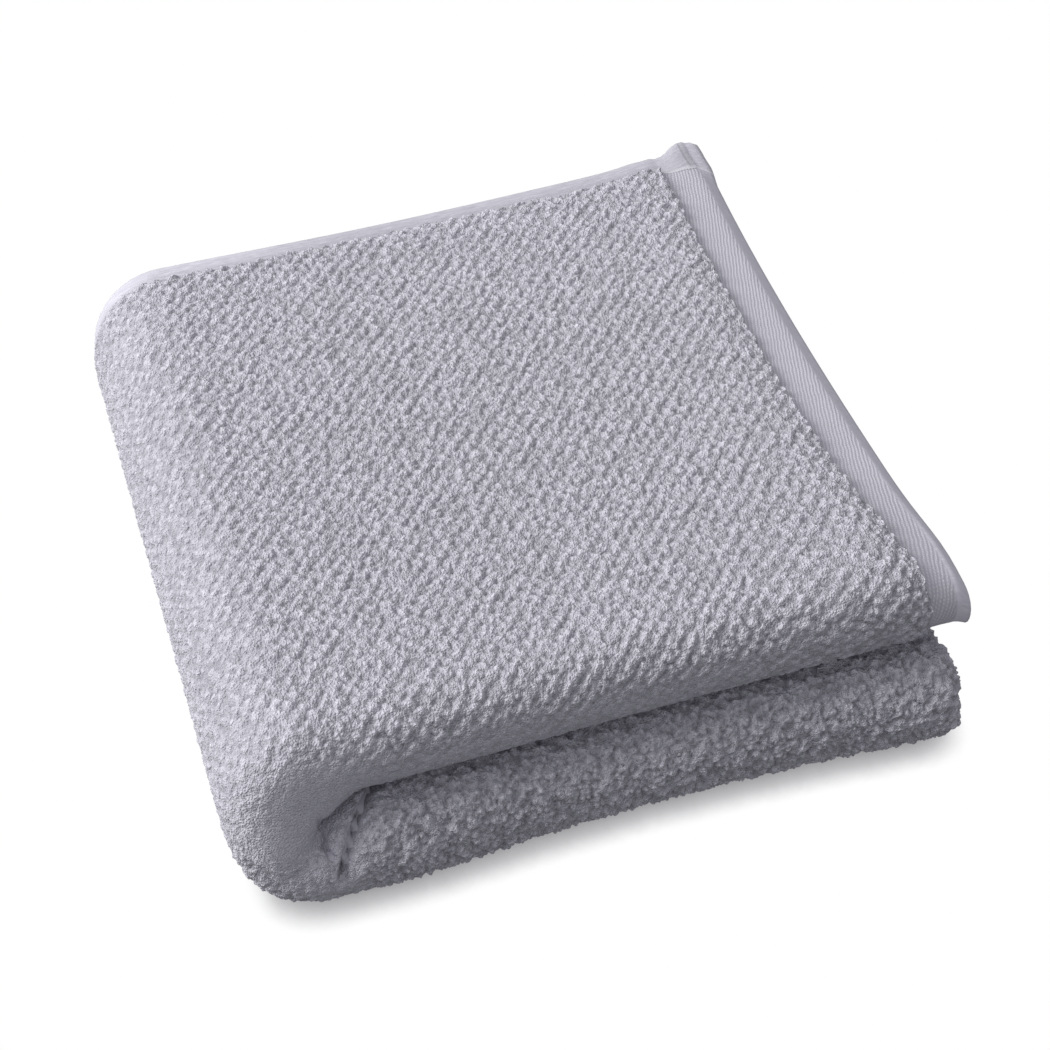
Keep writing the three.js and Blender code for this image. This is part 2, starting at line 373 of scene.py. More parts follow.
def groundDepth(along, across):      # the ground lies deeper only where loops cover it
    atTurn = smoothStep(turnStart - ground.fade, turnStart, along)
    onFront = smoothStep(frontStart - ground.fade, frontStart, across)
    below = smoothStep(spineEnd - ground.fade, spineEnd + ground.spineFade, along)
    shown = np.maximum(1 - below * (1 - onFront), atTurn)
    shown = shown * (1 - smoothStep(turnStart + turnLength, turnStart + turnLength + ground.fade, along))
    inSlit = smoothStep(frontEnd + ground.fade, frontEnd + ground.slitFade, across)
    return ground.pileDepth * pileShare(along, across) * shown * (1 - inSlit * (1 - atTurn))


def selvedgeRoll(across):            # height of the rolled selvedge hem over its flat band
    fromSelvedge = fromEdge(across, clothWidth)
    rollShare = np.clip((fromSelvedge - ground.rollAt) / ground.rollHalf, -1, 1)
    roll = ground.rollHeight * np.cos(rollShare * math.pi / 2)
    grooveAway = fromSelvedge - 2 * ground.rollAt - ground.grooveFromRoll
    return roll - ground.grooveDepth * bell(grooveAway, ground.grooveSpread)


def newObject(name, data):
    made = bpy.data.objects.new(name, data)
    bpy.context.scene.collection.objects.link(made)
    return made


def makeMesh(name, points, faces, material, smooth=True):
    mesh = bpy.data.meshes.new(name)
    counts = np.array([len(face) for face in faces], int)
    mesh.vertices.add(len(points))
    mesh.vertices.foreach_set("co", np.asarray(points, float).ravel())
    mesh.loops.add(int(counts.sum()))
    mesh.loops.foreach_set("vertex_index", np.concatenate([np.asarray(face, int) for face in faces]))
    mesh.polygons.add(len(faces))
    mesh.polygons.foreach_set("loop_start", np.cumsum(counts) - counts)
    mesh.update(calc_edges=True)
    mesh.polygons.foreach_set("use_smooth", [smooth] * len(mesh.polygons))
    if material is not None:
        mesh.materials.append(material)
    return newObject(name, mesh)


def addAttribute(mesh, name, values):
    values = np.asarray(values, float)
    kind = "FLOAT_VECTOR" if values.ndim == 2 else "FLOAT"
    field = "vector" if values.ndim == 2 else "value"
    mesh.attributes.new(name, kind, "POINT").data.foreach_set(field, values.ravel())


rowLine = alongStations()
columnLine = acrossStations()
rowGrid, columnGrid = np.meshgrid(rowLine, columnLine, indexing="ij")
tips = [foldedPoint(rowGrid, columnGrid, side).reshape(-1, 3) for side in (1, -1)]
boxLow = np.array(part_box("towel")[0]) / mm
frameShift = boxLow - np.concatenate(tips).min(axis=0)


def placed(along, across, side, under=0.0):     # in metres, in the frame
    return (foldedPoint(along, across, side, under) + frameShift) * mm


def buildCloth(material):
    depth = groundDepth(rowGrid, columnGrid) - selvedgeRoll(columnGrid)
    outer = placed(rowGrid, columnGrid, 1, depth).reshape(-1, 3)
    inner = placed(rowGrid, columnGrid, -1).reshape(-1, 3)
    points = np.concatenate([outer, inner])
    points[:, 2] = np.maximum(points[:, 2], 0.0)      # nothing sinks into the floor
    rows, columns = rowGrid.shape
    skin = rows * columns
    faces = []
    for i in range(rows - 1):
        for j in range(columns - 1):
            a = i * columns + j
            b = a + columns
            faces.append((a, b, b + 1, a + 1))
            faces.append((a + skin, a + 1 + skin, b + 1 + skin, b + skin))
    last = (rows - 1) * columns
    for i in range(rows - 1):
        a, b = i * columns, (i + 1) * columns
        faces.append((a, a + skin, b + skin, b))
        a, b = a + columns - 1, b + columns - 1
        faces.append((a, b, b + skin, a + skin))
    for j in range(columns - 1):
        faces.append((j, j + 1, j + 1 + skin, j + skin))
        faces.append((last + j, last + j + skin, last + j + 1 + skin, last + j + 1))
    cloth = makeMesh("towelCloth", points, faces, material)
    pile = pileShare(rowGrid, columnGrid).ravel()
    addAttribute(cloth.data, "pileShare", np.concatenate([pile, pile]))
    clothMap = cloth.data.uv_layers.new(name="clothMap")
    flat = np.stack([rowGrid.ravel(), columnGrid.ravel()], axis=-1) * mm
    flat = np.concatenate([flat, flat])
    corners = np.empty(len(cloth.data.loops), int)
    cloth.data.loops.foreach_get("vertex_index", corners)
    clothMap.data.foreach_set("uv", flat[corners].ravel())
    return cloth


# Node trees
class Wire:
    def __init__(self, graph, socket):
        self.graph = graph
        self.socket = socket

    def maths(self, operation, first, second):
        return self.graph.node("ShaderNodeMath", {"operation": operation}, {0: first, 1: second})

    def other(self, name):
        return Wire(self.graph, self.socket.node.outputs[name])


def addOperator(name, operation):    # so that wires can be added, multiplied and so on
    setattr(Wire, f"__{name}__", lambda self, value: self.maths(operation, self, value))
    setattr(Wire, f"__r{name}__", lambda self, value: self.maths(operation, value, self))


for name, operation in {"add": "ADD", "sub": "SUBTRACT", "mul": "MULTIPLY", "truediv": "DIVIDE"}.items():
    addOperator(name, operation)


class Graph:
    def __init__(self, tree):
        self.tree = tree

    def node(self, kind, settings=None, inputs=None, output=0):
        made = self.tree.nodes.new(kind)
        for name, value in (settings or {}).items():
            if name == "stops":
                self.setStops(made.color_ramp, value)
            else:
                setattr(made, name, value)
        for name, value in (inputs or {}).items():
            if isinstance(value, Wire):
                self.tree.links.new(value.socket, made.inputs[name])
            else:
                made.inputs[name].default_value = value
        return Wire(self, made.outputs[output]) if len(made.outputs) else made

    def setStops(self, ramp, stops):
        while len(ramp.elements) < len(stops):
            ramp.elements.new(1.0)
        for element, (position, colour) in zip(ramp.elements, stops):
            element.position = position
            element.color = (*colour, 1.0)

    def vector(self, operation, first, second):
        return self.node("ShaderNodeVectorMath", {"operation": operation}, {0: first, 1: second})

    def scaled(self, first, factor):
        return self.node("ShaderNodeVectorMath", {"operation": "SCALE"}, {"Vector": first, "Scale": factor})

    def split(self, vector):
        return self.node("ShaderNodeSeparateXYZ", {}, {0: vector})

    def function(self, operation, value):
        return self.node("ShaderNodeMath", {"operation": operation}, {0: value})

    def ranged(self, value, span, result=(0.0, 1.0), smooth=False):
        settings = {"interpolation_type": "SMOOTHSTEP" if smooth else "LINEAR"}
        inputs = {0: value, 1: span[0], 2: span[1], 3: result[0], 4: result[1]}
        return self.node("ShaderNodeMapRange", settings, inputs)

    def mixed(self, factor, first, second):
        return self.node("ShaderNodeMix", {}, {0: factor, 2: first, 3: second})

    def mixColour(self, factor, first, second):
        return self.node("ShaderNodeMix", {"data_type": "RGBA"}, {0: factor, 6: first, 7: second}, 2)

    def attribute(self, name):
        return self.node("ShaderNodeAttribute", {"attribute_name": name}, {}, "Fac")

    def noise(self, vector, scale, detail=2.0, roughness=0.5):
        inputs = {"Vector": vector, "Scale": scale, "Detail": detail, "Roughness": roughness}
        return self.node("ShaderNodeTexNoise", {}, inputs)

    def bump(self, strength, distance, height):
        inputs = {"Strength": strength, "Distance": distance, "Height": height}
        return self.node("ShaderNodeBump", {}, inputs)


def newMaterial(name):
    material = bpy.data.materials.new(name)
    material.use_nodes = True
    material.node_tree.nodes.clear()
    return material, Graph(material.node_tree)


def finishMaterial(graph, colour, normal, sockets):
    inputs = {"Base Color": colour, "Normal": normal, **sockets}
    shader = graph.node("ShaderNodeBsdfPrincipled", {}, inputs)
    graph.node("ShaderNodeOutputMaterial", {}, {"Surface": shader})


# Cotton, as linear colours; the groove colours hold painted shade for the hollows
cottonColours = {
    "loop": (0.700, 0.691, 0.766),
    "loopGrooveShade": (0.420, 0.413, 0.463),
    "hem": (0.700, 0.692, 0.760),
    # painted shade between the hem's cords, and the tone of its darker threads
    "hemShadeAndDarkThreads": (0.470, 0.462, 0.525),
}
cottonFinish = {
    "Roughness": 0.92,
    "Specular IOR Level": 0.25,
    "Sheen Weight": 0.12,
    "Sheen Roughness": 0.45,
}


def asColour(name):
    return (*cottonColours[name], 1.0)


loopFinish = {
    "riseSpan": (0.34, 0.98),       # painted shade: from the grooves' shaded colour to the loops' colour
    "baseTone": 0.85,               # the tone is the sum of these shares
    # painted light: paler on the tops of clumps and loops, darker at their edges
    "shadeTone": 0.15,
    "patchTone": 0.10,              # large soft patches
    "patchScale": 38.0,
    "speckTone": 0.13,              # painted glints: small bright specks of light on the loops
    "speckScale": 1500.0,
    "speckSpan": (0.56, 0.70),
    "spineSpan": (-0.13, -0.04),    # painted light: paler towards the spine, the side the light comes from, in metres
    "spineTones": (1.09, 1.0),
    "backSpan": (0.0, 0.13),        # and painted paler towards the back
    "backTones": (1.0, 1.07),
    "dentSpan": (2.0, 5.0),         # painted shade, darker in deep creases, in millimetres
    "dentTones": (1.0, 0.55),
    "curlScale": 1350.0,
    "curlSmoothness": 0.3,
    "fibreScale": 2600.0,
    "fibreShare": 0.4,
    "bumpStrength": 0.85,
    "bumpDistance": 0.0008,
}


def loopMaterial():
    material, g = newMaterial("terryLoops")
    size = SimpleNamespace(**loopFinish)
    place = g.node("ShaderNodeTexCoord", {}, {}, "Object")
    # painted shade: the lower a spot of the pile stands, the darker its colour
    height = g.ranged(g.attribute("loopRise"), size.riseSpan)
    colour = g.mixColour(height, asColour("loopGrooveShade"), asColour("loop"))
    patches = g.noise(place, size.patchScale, 3.0)
    side = g.split(place)
    # painted light: paler towards the spine and the back, where more light falls
    paintedSideLight = g.ranged(side, size.spineSpan, size.spineTones)
    paintedSideLight = paintedSideLight * g.ranged(side.other("Y"), size.backSpan, size.backTones)
    # painted glints, bright specks of light scattered over the loops
    paintedGlints = g.ranged(g.noise(place, size.speckScale, 1.0), size.speckSpan)
    # painted shade in the creases, by how deep they are
    dentShade = g.ranged(g.attribute("dentDepth"), size.dentSpan, size.dentTones)
    # painted light on the tops of the clumps and loops
    tone = size.baseTone + size.shadeTone * g.attribute("loopShade")
    tone = tone + size.patchTone * patches + size.speckTone * paintedGlints
    colour = g.scaled(colour, tone * paintedSideLight * dentShade)
    inputs = {"Vector": place, "Scale": size.curlScale, "Smoothness": size.curlSmoothness}
    curls = g.node("ShaderNodeTexVoronoi", {"feature": "SMOOTH_F1"}, inputs)
    fibres = g.noise(place, size.fibreScale)
    normal = g.bump(size.bumpStrength, size.bumpDistance, fibres * size.fibreShare - curls)
    finishMaterial(g, colour, normal, cottonFinish)
    return material


clothFinish = {
    "cordPitch": 1.3,           # millimetres from one hem cord to the next
    "cordAngle": 17.0,          # degrees from the hem's long side
    "cordWander": 0.9,
    "wanderScale": 190.0,
    "dashPitch": 1.15,          # each cord is a row of short dashes
    "dashShift": 0.37,          # shift of the dashes from one cord to the next
    "dashDepth": 0.70,
    "cordShare": 0.7,           # the weave's height is cords and fuzz
    "fuzzShare": 0.5,
    "fuzzScales": (1500.0, 900.0),
    "threadScales": (260.0, 1500.0),
    "weaveHeight": 0.25,
    "bumpStrength": 0.9,
    "levels": (0.1, 0.85),      # heights of the darkest and the palest thread: painted shade between the cords, and the threads' own tone
    "selvedgeAt": 10.4,         # where the end hem's cords stop beside the selvedge
    "selvedgeBlur": 0.4,
    "hemBlur": 3.0,
    "endBlur": 2.0,
    "seamHalf": 0.55,           # the stitched line between the two
    "seamDepth": 1.6,
    "stripAt": 6.0,             # the hem's outer side, without cords, and painted paler as light
    "stripBlur": 0.6,
    "stripShade": 1.22,
    "topEdge": (5.5, 6.7),      # and where the cords begin
    "patchShade": 0.88,         # the corner where both hems lie over each other
    "patchFuzz": 0.5,
    "patchScales": (1400.0, 1400.0),
    "notchAt": 8.5,             # a small crease across it, painted as a darker line of shade
    "notchHalf": 0.8,
    "notchShade": 0.72,
    "rimShade": 0.94,           # the selvedge's outer rim
    "rimEdge": (2.4, 1.6),      # counted from the edge in rollAt
    "bandShade": 0.80,          # and its greyer band
    "spineShade": 1.24,         # painted light: the whole selvedge is paler round the spine, the side the light comes from
    "spineBlur": 80.0,
    "selvedgeThreads": 0.55,
    "selvedgeScales": (120.0, 1700.0),
    "cloudTones": (0.94, 0.12),
    "cloudScale": 45.0,
}


def clothMaterial():
    material, g = newMaterial("towelGround")
    size = SimpleNamespace(**clothFinish)
    uv = g.node("ShaderNodeUVMap", {"uv_map": "clothMap"})
    along = g.split(uv) / mm
    across = g.split(uv).other("Y") / mm
    fromSelvedge = across.maths("MINIMUM", across, clothWidth - across)
    fromEnd = along.maths("MINIMUM", along, clothLength - along)

    def atSelvedge(low, high):      # both from the line where the cords stop
        return g.ranged(fromSelvedge, (size.selvedgeAt + low, size.selvedgeAt + high), smooth=True)

    def atEnd(low, high):
        return g.ranged(fromEnd, (low, high), smooth=True)

    def wave(value):
        return g.function("SINE", value * (2 * math.pi)) * 0.5 + 0.5

    def threads(scales):
        spot = g.node("ShaderNodeMapping", {}, {"Vector": uv, "Scale": (*scales, 1.0)})
        return g.noise(spot, 1.0, 3.0, 0.6)

    turn = math.radians(size.cordAngle)
    way = (along * math.cos(turn) - across * math.sin(turn)) / size.cordPitch
    way = way + g.noise(uv, size.wanderScale) * size.cordWander
    line = g.function("FLOOR", way)
    dash = (along * math.sin(turn) + across * math.cos(turn)) / size.dashPitch + line * size.dashShift
    cord = wave(way) * ((1 - size.dashDepth) + size.dashDepth * wave(dash))
    onHem = atSelvedge(-size.selvedgeBlur, size.selvedgeBlur)
    onHem = onHem * atEnd(hem.endWidth + size.hemBlur, hem.endWidth)
    flatTop = atEnd(*size.topEdge)
    cords = cord * size.cordShare + threads(size.fuzzScales) * size.fuzzShare
    weave = g.mixed(onHem * flatTop, threads(size.threadScales), cords)
    pastHem = atEnd(hem.endWidth, hem.endWidth - size.endBlur)
    seam = atSelvedge(-size.seamHalf * 2, -size.seamHalf) * atSelvedge(size.seamHalf, 0.0) * pastHem
    weave = weave + seam * size.seamDepth
    # low parts of the weave get painted shade, darker threads their own darker tone
    colour = g.mixColour(g.ranged(weave, size.levels), asColour("hemShadeAndDarkThreads"), asColour("hem"))

    # painted light: the hem's outer side is made paler than its lighting gives
    paintedStripLight = size.stripShade + (1 - size.stripShade) * atEnd(size.stripAt - size.stripBlur, size.stripAt)
    besideCords = atSelvedge(0.0, -1.0)
    onPatch = besideCords * pastHem
    onSelvedge = besideCords * atEnd(hem.endWidth - size.endBlur, hem.endWidth)
    patch = 1.0 - (1 - size.patchShade) * onPatch
    rim = g.ranged(fromSelvedge, [ground.rollAt * share for share in size.rimEdge], smooth=True)
    rimTone = size.bandShade + (size.rimShade - size.bandShade) * rim - 1.0
    selvedgeFuzz = size.selvedgeThreads * (threads(size.selvedgeScales) - 0.5)
    band = 1.0 + onSelvedge * (rimTone + selvedgeFuzz)
    # painted light on the selvedge round the spine
    litSpineSide = atEnd(spineStart - size.spineBlur, spineStart)
    band = band * (1.0 + onSelvedge * litSpineSide * (size.spineShade - 1))
    band = band + onPatch * size.patchFuzz * (threads(size.patchScales) - 0.5)
    # painted shade along the small crease
    notch = atEnd(size.notchAt - size.notchHalf, size.notchAt)
    notch = notch * atEnd(size.notchAt + size.notchHalf, size.notchAt)
    band = band * (1.0 - (1 - size.notchShade) * notch * onPatch)
    base, spread = size.cloudTones
    clouds = base + spread * g.noise(uv, size.cloudScale, 3.0)
    colour = g.scaled(colour, paintedStripLight * patch * band * clouds)
    normal = g.bump(size.bumpStrength, size.weaveHeight * mm, weave)
    finishMaterial(g, colour, normal, cottonFinish)
    return material


# Terry: over each part of the cloth that shows lies a closed skin with the relief of its loops
terrySizes = {
    "flatStep": 0.50,           # size of a face, measured on the folded cloth
    "spineStep": 0.70,
    "frontStep": 0.60,
    "underStep": 1.7,
    "slitStep": 1.0,
    "slitReach": 12.0,          # how far the pile goes on into the slit between the folds
    "backing": 4.6,             # the skin's inner side, below the tips
    "backingEvery": 8,          # outer rows for each one of the inner side
    "rowAlong": 3.3,            # half of the lattice's cell, which has a tuft at its corners
    "rowAcross": 3.4,           # and one in the middle
    "border": 23.0,             # where the pile starts, from the edge of the end hem
    "borderAcross": 9.9,
    "edgeSpare": 1.8,           # skin beyond the border, sunk in the hem
    "full": 27.0,               # from here inwards the skin follows the thick cloth
    "fullAcross": 12.5,
    "underNext": [0.03, 0.5],   # how far a piece lies under the next one, at its last two stations
    "pressed": (0.50, 0.78),    # rows drawn together more than this lose their lattice
    "latticeSure": 20.0,        # but never farther than this before the spine
    "latticeTurn": 0.25,        # on the front folds most of it is lost too
    "latticeLost": 0.7,
    "probeStep": 0.05,          # between two points that give a direction
    "walkFine": 0.1,            # steps for lengths measured on the folded cloth
    "walkStep": 0.25,
    "walkSpare": 30.0,
    "drawnUntil": 75.0,         # where the rows run straight again beside the drawn-in hem
}
reliefSizes = {
    "Ground": 0.25 * mm,
    "Tuft Height": 0.86 * mm,
    "Clump Height": 0.64 * mm,
    "Clump Pitch": 2.1 * mm,
    "Loop Height": 0.46 * mm,
    "Loop Pitch": 1.3 * mm,
    "Lump Pitch": 3.8 * mm,
    "Sunk": 2.3 * mm,
    "Border Wander": 3.3,
}
reliefShape = {
    "rowStretch": 1.35,         # the tufts lie closer together along a row
    "tuftRandom": 0.46,
    "tuftReach": 0.56,          # radius of a bump, as a share of its cell
    "bumpReach": 0.62,
    "bumpTop": 1.05,            # a little over 1, so that the valleys keep some room
    "bumpFloor": 0.02,
    "rowShare": 0.11,           # the rest of the lattice's height is tufts
    "rowShift": 0.21,
    "rowWander": 0.15,
    "wanderScale": 120.0,
    "lumpTall": 1.6,
    "leastHeight": 0.15 * mm,
    "borderLarge": 0.5,
    "borderSpan": (-0.4, 0.6),  # where the skin comes up from the hem, in millimetres
    "meanRise": 1.3 * mm,
    "fullRise": 2.1 * mm,
}
terry = SimpleNamespace(**terrySizes)


def reliefTree():
    tree = bpy.data.node_groups.new("terryRelief", "GeometryNodeTree")
    tree.is_modifier = True
    sockets = [("Skin", "Geometry")] + [(name, "Float") for name in reliefSizes] + [("Material", "Material")]
    for name, kind in sockets:
        tree.interface.new_socket(name, in_out="INPUT", socket_type="NodeSocket" + kind)
    tree.interface.new_socket("Terry", in_out="OUTPUT", socket_type="NodeSocketGeometry")
    g = Graph(tree)
    shape = SimpleNamespace(**reliefShape)
    given = g.node("NodeGroupInput")
    size = {name: given.other(name) for name, kind in sockets}

    def stored(name, kind="FLOAT"):
        return g.node("GeometryNodeInputNamedAttribute", {"data_type": kind}, {"Name": name})

    def kept(geometry, name, value):
        inputs = {"Geometry": geometry, "Name": name, "Value": value}
        return g.node("GeometryNodeStoreNamedAttribute", {"data_type": "FLOAT"}, inputs)

    def bumps(vector, scale, randomness, reach):        # round bumps in cells of about 1 / scale
        inputs = {"Vector": vector, "Scale": scale, "Randomness": randomness}
        cells = g.node("ShaderNodeTexVoronoi", {"voronoi_dimensions": "3D"}, inputs)
        share = cells / reach
        room = shape.bumpTop - share * share
        return g.function("SQRT", room.maths("MAXIMUM", room, shape.bumpFloor))

    def looseBumps(vector, name):
        return bumps(vector, 1.0 / size[name], 1.0, shape.bumpReach)

    place = g.node("GeometryNodeInputPosition")
    spot = stored("rowSpot", "FLOAT_VECTOR")
    wander = g.noise(place, shape.wanderScale) - 0.5
    chain = g.vector("MULTIPLY", spot, (shape.rowStretch, 1.0, 1.0))
    tufts = bumps(chain, 1.0, shape.tuftRandom, shape.tuftReach)
    rowLine = g.split(spot).other("Y") - shape.rowShift
    rows = g.function("COSINE", (rowLine + wander * shape.rowWander) * (2 * math.pi))
    inRows = tufts * (1 - shape.rowShare) + rows * shape.rowShare
    squashed = g.vector("MULTIPLY", place, (1.0, 1.0, 1.0 / shape.lumpTall))
    large = g.mixed(stored("rowShare"), looseBumps(squashed, "Lump Pitch"), inRows)
    clumps = looseBumps(place, "Clump Pitch")
    loops = looseBumps(place, "Loop Pitch")
    relief = large * size["Tuft Height"] + clumps * size["Clump Height"] + loops * size["Loop Height"]

    share = stored("reliefShare")
    height = size["Ground"] + relief * share
    height = height.maths("MAXIMUM", height, shape.leastHeight)
    inside = stored("borderAway") + wander * size["Border Wander"] + large * shape.borderLarge
    covered = g.ranged(inside, shape.borderSpan, smooth=True)
    lift = height * covered - size["Sunk"] * (1.0 - covered)
    move = g.scaled(stored("outWay", "FLOAT_VECTOR"), lift)
    tamed = share.maths("MINIMUM", share, 1.0)          # flattened loops keep a middling painted shade
    rise = size["Ground"] + relief * tamed + shape.meanRise * (1.0 - tamed)
    # loopRise is the height that sets the painted shade in the grooves
    skin = kept(size["Skin"], "loopRise", rise / shape.fullRise * covered)
    # painted light: the height of the clumps and loops, paler on their tops
    skin = kept(skin, "loopShade", 0.5 * clumps + 0.5 * loops)
    skin = g.node("GeometryNodeSetPosition", {}, {"Geometry": skin, "Offset": move})
    x = g.split(g.node("GeometryNodeInputPosition"))
    resting = x.maths("MAXIMUM", x.other("Z"), 0.0)      # nothing sinks into the floor
    flat = g.node("ShaderNodeCombineXYZ", {}, {0: x, 1: x.other("Y"), 2: resting})
    skin = g.node("GeometryNodeSetPosition", {}, {"Geometry": skin, "Position": flat})
    skin = g.node("GeometryNodeSetMaterial", {}, {"Geometry": skin, "Material": size["Material"]})
    g.node("NodeGroupOutput", {}, {"Terry": skin})
    return tree


def alongPoint(line):
    return foldedPoint(line, frontStart / 2, 1)


def acrossPoint(line):
    return foldedPoint(fold.faceLength / 2, line, 1)


def walkedLine(line, point):         # real distance on the folded cloth at each station
    places = point(line)
    return line, np.concatenate([[0.0], np.cumsum(np.linalg.norm(np.diff(places, axis=0), axis=1))])


def evenLine(start, end, step, point):      # stations at equal distances on the folded cloth
    line, walked = walkedLine(np.linspace(start, end, 2 + int((end - start) / terry.walkFine)), point)
    return np.interp(np.linspace(0, walked[-1], 2 + int(walked[-1] / step)), walked, line)


def alongLine(start, end, step):
    return evenLine(start, end, step, alongPoint)


def acrossLine(start, end, step):
    return evenLine(start, end, step, acrossPoint)


def joinLines(*lines):
    return np.concatenate([lines[0]] + [line[1:] for line in lines[1:]])


# Where two pieces meet, each goes on under the other for two stations, so that no seam shows
def withEnds(line, before=None, after=None):
    sink = np.zeros(len(line))
    if before is not None:
        line = np.concatenate([before[-3:-1], line])
        sink = np.concatenate([terry.underNext[::-1], sink])
    if after is not None:
        line = np.concatenate([line, after[1:3]])
        sink = np.concatenate([sink, terry.underNext])
    return line, sink


def terryRegions():                  # stations along and across of each piece of the pile
    top = alongLine(terry.border - terry.edgeSpare, spineStart, terry.flatStep)
    spine = alongLine(spineStart, spineEnd, terry.spineStep)
    middle = len(spine) // 2
    lower = alongLine(spineEnd, turnStart, terry.frontStep)
    turn = alongLine(turnStart, turnStart + turnLength, terry.spineStep)
    flat = acrossLine(terry.borderAcross - terry.edgeSpare, frontStart, terry.flatStep)
    front = acrossLine(frontStart, frontEnd, terry.frontStep)
    slit = acrossLine(frontEnd, frontEnd + terry.slitReach, terry.slitStep)
    folded = joinLines(front, slit)
    first, second = len(top) // 3, 2 * len(top) // 3
    coarse = flat[::2] if len(flat) % 2 else np.append(flat[::2], flat[-1])
    underAlong = alongLine(spineEnd, turnStart, terry.underStep)
    underAcross = acrossLine(terry.borderAcross - terry.edgeSpare, frontStart, terry.underStep)
    upper = joinLines(top, spine[:middle + 1])
    under = joinLines(spine[middle:], lower, turn)
    onTop = withEnds(flat, after=folded)
    onFold = withEnds(folded, before=flat)
    return {
        "terryTopRight": (withEnds(top[:first + 1], after=top[first:]), onTop),
        "terryTopMiddle": (withEnds(top[first:second + 1], top[:first + 1], top[second:]), onTop),
        "terryTopLeft": (withEnds(top[second:], top[:second + 1], spine), onTop),
        "terrySpine": (withEnds(spine, top, lower), onTop),
        "terryUpperFront": (withEnds(upper, after=spine[middle:]), onFold),
        "terryLowerFront": (withEnds(under, before=spine[:middle + 1]), onFold),
        "terryRightEnd": (withEnds(turn, before=lower), withEnds(coarse, after=folded)),
        "terryUnderside": (withEnds(underAlong), withEnds(underAcross)),
    }


loopShares = {                  # how much lower or higher the loops stand than on the open top
    "upperTurn": (0.27, 0.50),      # share of the turn round the front
    "upperLower": 0.62,
    "upperRight": (140.0, 225.0),   # less so towards the hem
    "upperRightKept": 0.75,
    "lowerTurn": (0.1, 0.3),
    "lowerHigher": 0.9,
    "cornerX": (34.0, 60.0),        # where both folds turn into each other
    "cornerTurn": (0.15, 0.4),
    "cornerLower": 0.75,
    "underside": 0.5,
}


def reliefShare(along, across, x):
    size = SimpleNamespace(**loopShares)
    angle = np.clip((across - frontStart) / frontLength, 0.0, 1.0)
    upper = along < (spineStart + spineEnd) / 2
    low = smoothStep(*size.upperTurn, angle) * (1 - size.upperRightKept * smoothStep(*size.upperRight, x))
    onUpper = 1 - size.upperLower * low
    onLower = 1 + size.lowerHigher * smoothStep(*size.lowerTurn, angle)
    share = np.where(upper, onUpper, onLower)
    atTurn = (1 - smoothStep(*size.cornerX, x)) * smoothStep(*size.cornerTurn, angle)
    share = share * (1 - size.cornerLower * atTurn)
    below = (along > spineEnd) & (along < turnStart) & (across < frontStart)
    return np.where(below, size.underside, share)


# Faces of a closed skin: the fine outer side, the coarse inner side and the walls between them
def closedFaces(fine, coarse, every):
    outer = [fine[:-1, :-1], fine[1:, :-1], fine[1:, 1:], fine[:-1, 1:]]
    inner = [coarse[:-1, :-1], coarse[:-1, 1:], coarse[1:, 1:], coarse[1:, :-1]]
    faces = [face for corners in (outer, inner) for face in np.stack(corners, axis=-1).reshape(-1, 4)]
    for side in (0, -1):
        for k, (a, b) in enumerate(zip(every[0][:-1], every[0][1:])):
            wall = [*fine[a:b + 1, side], coarse[k + 1, side], coarse[k, side]]
            faces.append(wall if side else wall[::-1])
        for k, (a, b) in enumerate(zip(every[1][:-1], every[1][1:])):
            wall = [*fine[side, a:b + 1], coarse[side, k + 1], coarse[side, k]]
            faces.append(wall[::-1] if side else wall)
    return faces


